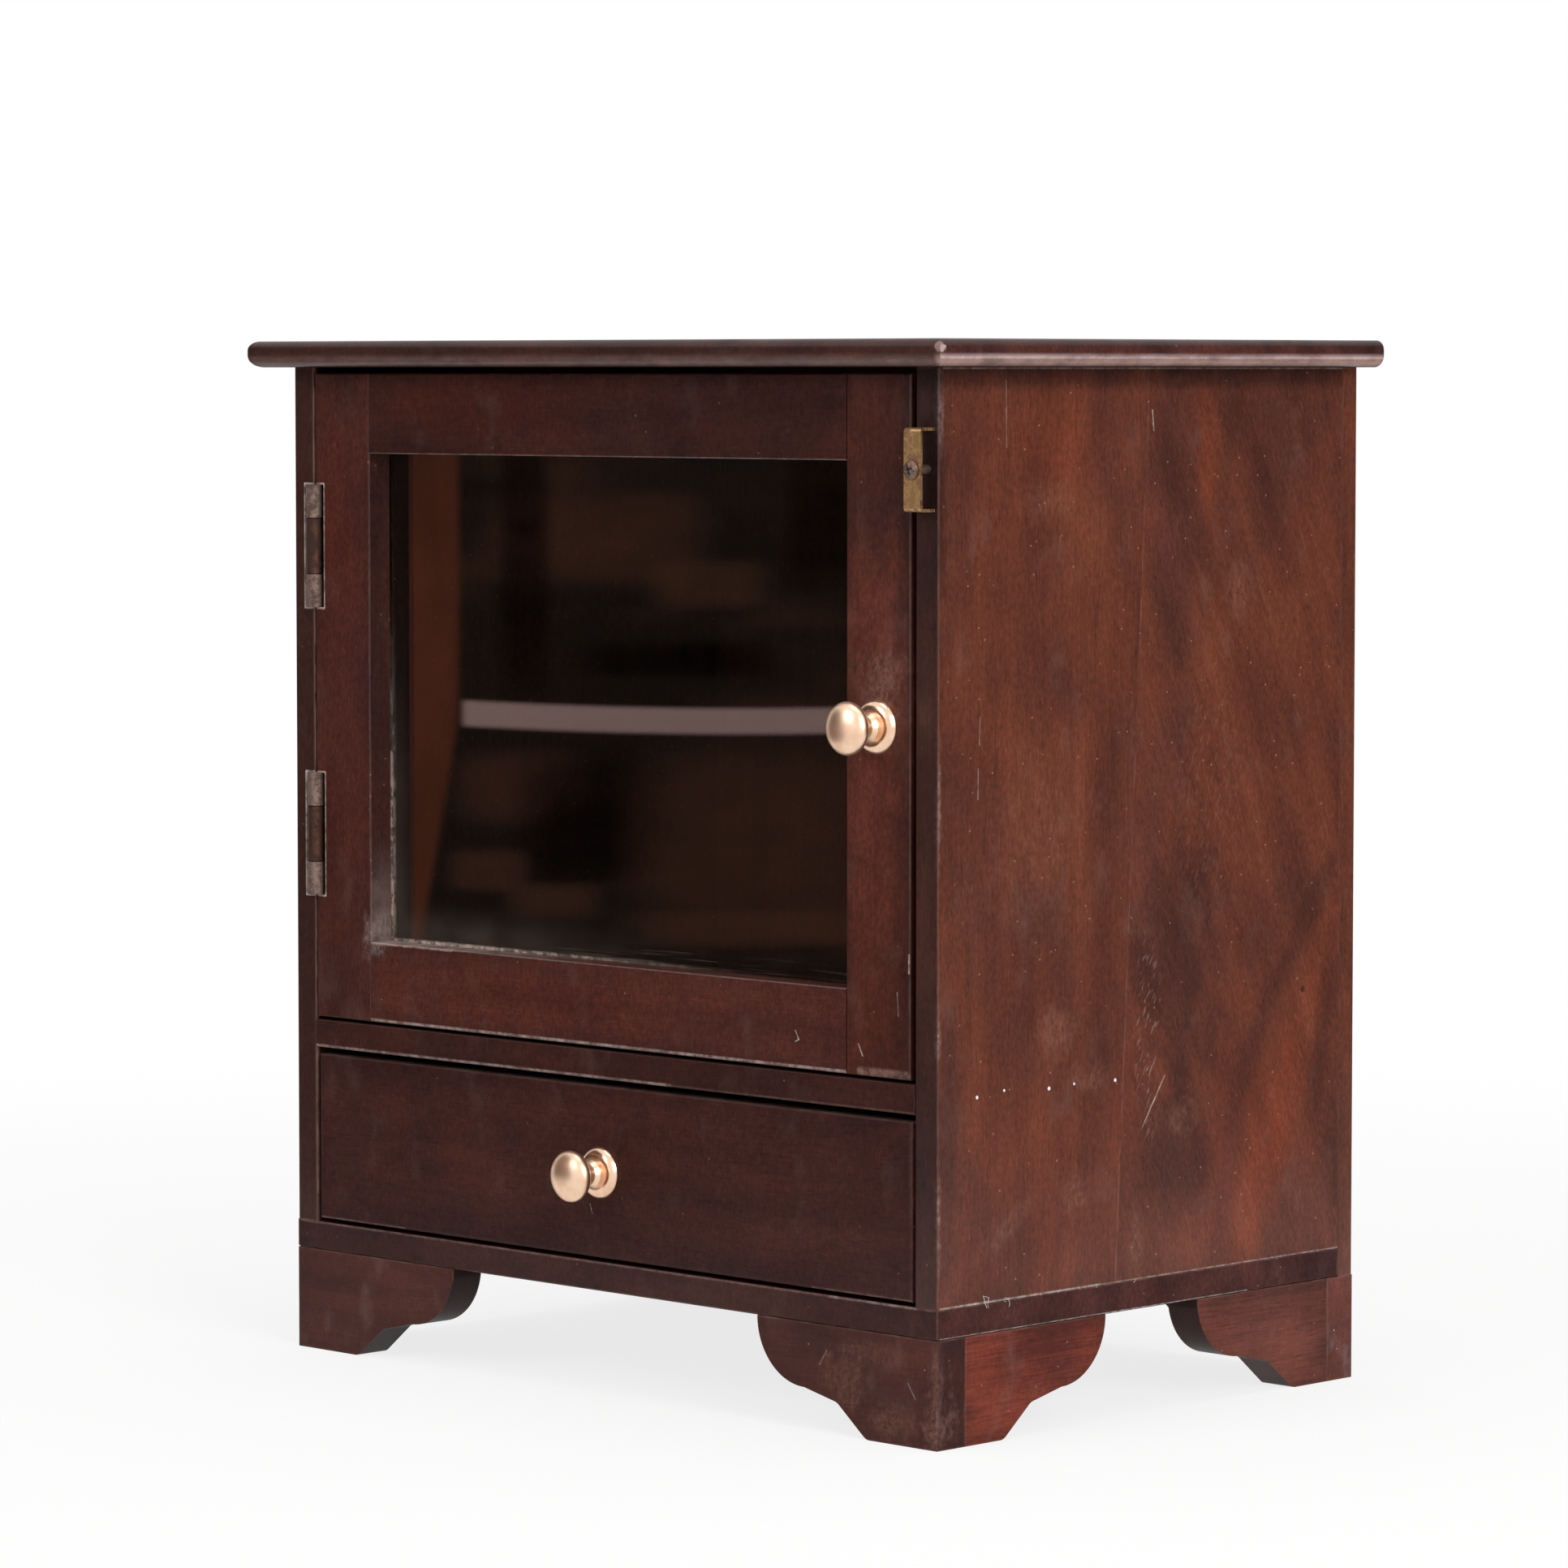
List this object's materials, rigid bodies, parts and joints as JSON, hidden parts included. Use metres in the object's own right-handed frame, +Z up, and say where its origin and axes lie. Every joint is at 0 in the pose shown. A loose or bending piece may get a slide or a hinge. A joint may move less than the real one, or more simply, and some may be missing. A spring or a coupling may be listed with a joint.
{
  "type": "display case",
  "caption": "Small table-top wooden display cabinet: glazed hinged door with turn catch above a drawer, overhanging top with a rounded edge, scrolled bracket feet.",
  "frame": {"origin": "on the floor below the middle of the cabinet's overall box, knobs included", "axes": "+Z up, +X to the right along the front, +Y from the front to the back; the front faces -Y"},
  "size_m": [0.403, 0.2746, 0.43],
  "materials": {
    "front_wood": "dark red-brown wood, worn semi-gloss lacquer",
    "side_wood": "red-brown wood, worn semi-gloss lacquer",
    "inner_wood": "bare inner wood",
    "knob_brass": "satin pale brass",
    "catch_brass": "aged dull brass strip",
    "hinge_metal": "tarnished, dusty brass",
    "screw_steel": "dull steel",
    "glass": "clear window glass"
  },
  "bodies": {
    "carcass": {"back_board": "front_wood", "base_board": "front_wood", "catch_screw": "screw_steel", "divider_board": "front_wood", "door_stop": "inner_wood", "foot_back_left": "front_wood", "foot_back_right": "front_wood", "foot_front_left": "front_wood", "foot_front_right": "front_wood", "foot_side_back_left": "side_wood", "foot_side_back_right": "side_wood", "foot_side_front_left": "side_wood", "foot_side_front_right": "side_wood", "hinge_lower_pin": "hinge_metal", "hinge_lower_side_leaf": "hinge_metal", "hinge_screws_side": "screw_steel", "hinge_upper_pin": "hinge_metal", "hinge_upper_side_leaf": "hinge_metal", "side_panel_left": "side_wood", "side_panel_right": "side_wood", "top_board": "front_wood"},
    "door": {"door_knob": "knob_brass", "door_knob_rosette": "knob_brass", "door_knob_screw": "screw_steel", "door_rail_bottom": "front_wood", "door_rail_top": "front_wood", "door_stile_left": "front_wood", "door_stile_right": "front_wood", "glass_pane": "glass", "glazing_bead_bottom": "front_wood", "glazing_bead_left": "front_wood", "glazing_bead_right": "front_wood", "glazing_bead_top": "front_wood", "hinge_lower_door_leaf": "hinge_metal", "hinge_screws_door": "screw_steel", "hinge_upper_door_leaf": "hinge_metal"},
    "drawer": {"drawer_back": "inner_wood", "drawer_bottom": "inner_wood", "drawer_front": "front_wood", "drawer_knob": "knob_brass", "drawer_knob_rosette": "knob_brass", "drawer_knob_screw": "screw_steel", "drawer_side_left": "inner_wood", "drawer_side_right": "inner_wood"},
    "catch": {"catch_bar": "catch_brass"}
  },
  "joints": [
    {"name": "door_hinge", "type": "hinge", "parent": "carcass", "child": "door", "pos_m": [-0.175, -0.11475, 0.28], "axis": [0, 0, -1], "range_deg": [0, 170]},
    {"name": "drawer_slide", "type": "slide", "parent": "carcass", "child": "drawer", "axis": [0, -1, 0], "range_m": [0, 0.18]},
    {"name": "catch_turn", "type": "hinge", "parent": "carcass", "child": "catch", "pos_m": [0.1815, -0.12275, 0.3797], "axis": [0, 1, 0], "continuous": true}
  ]
}
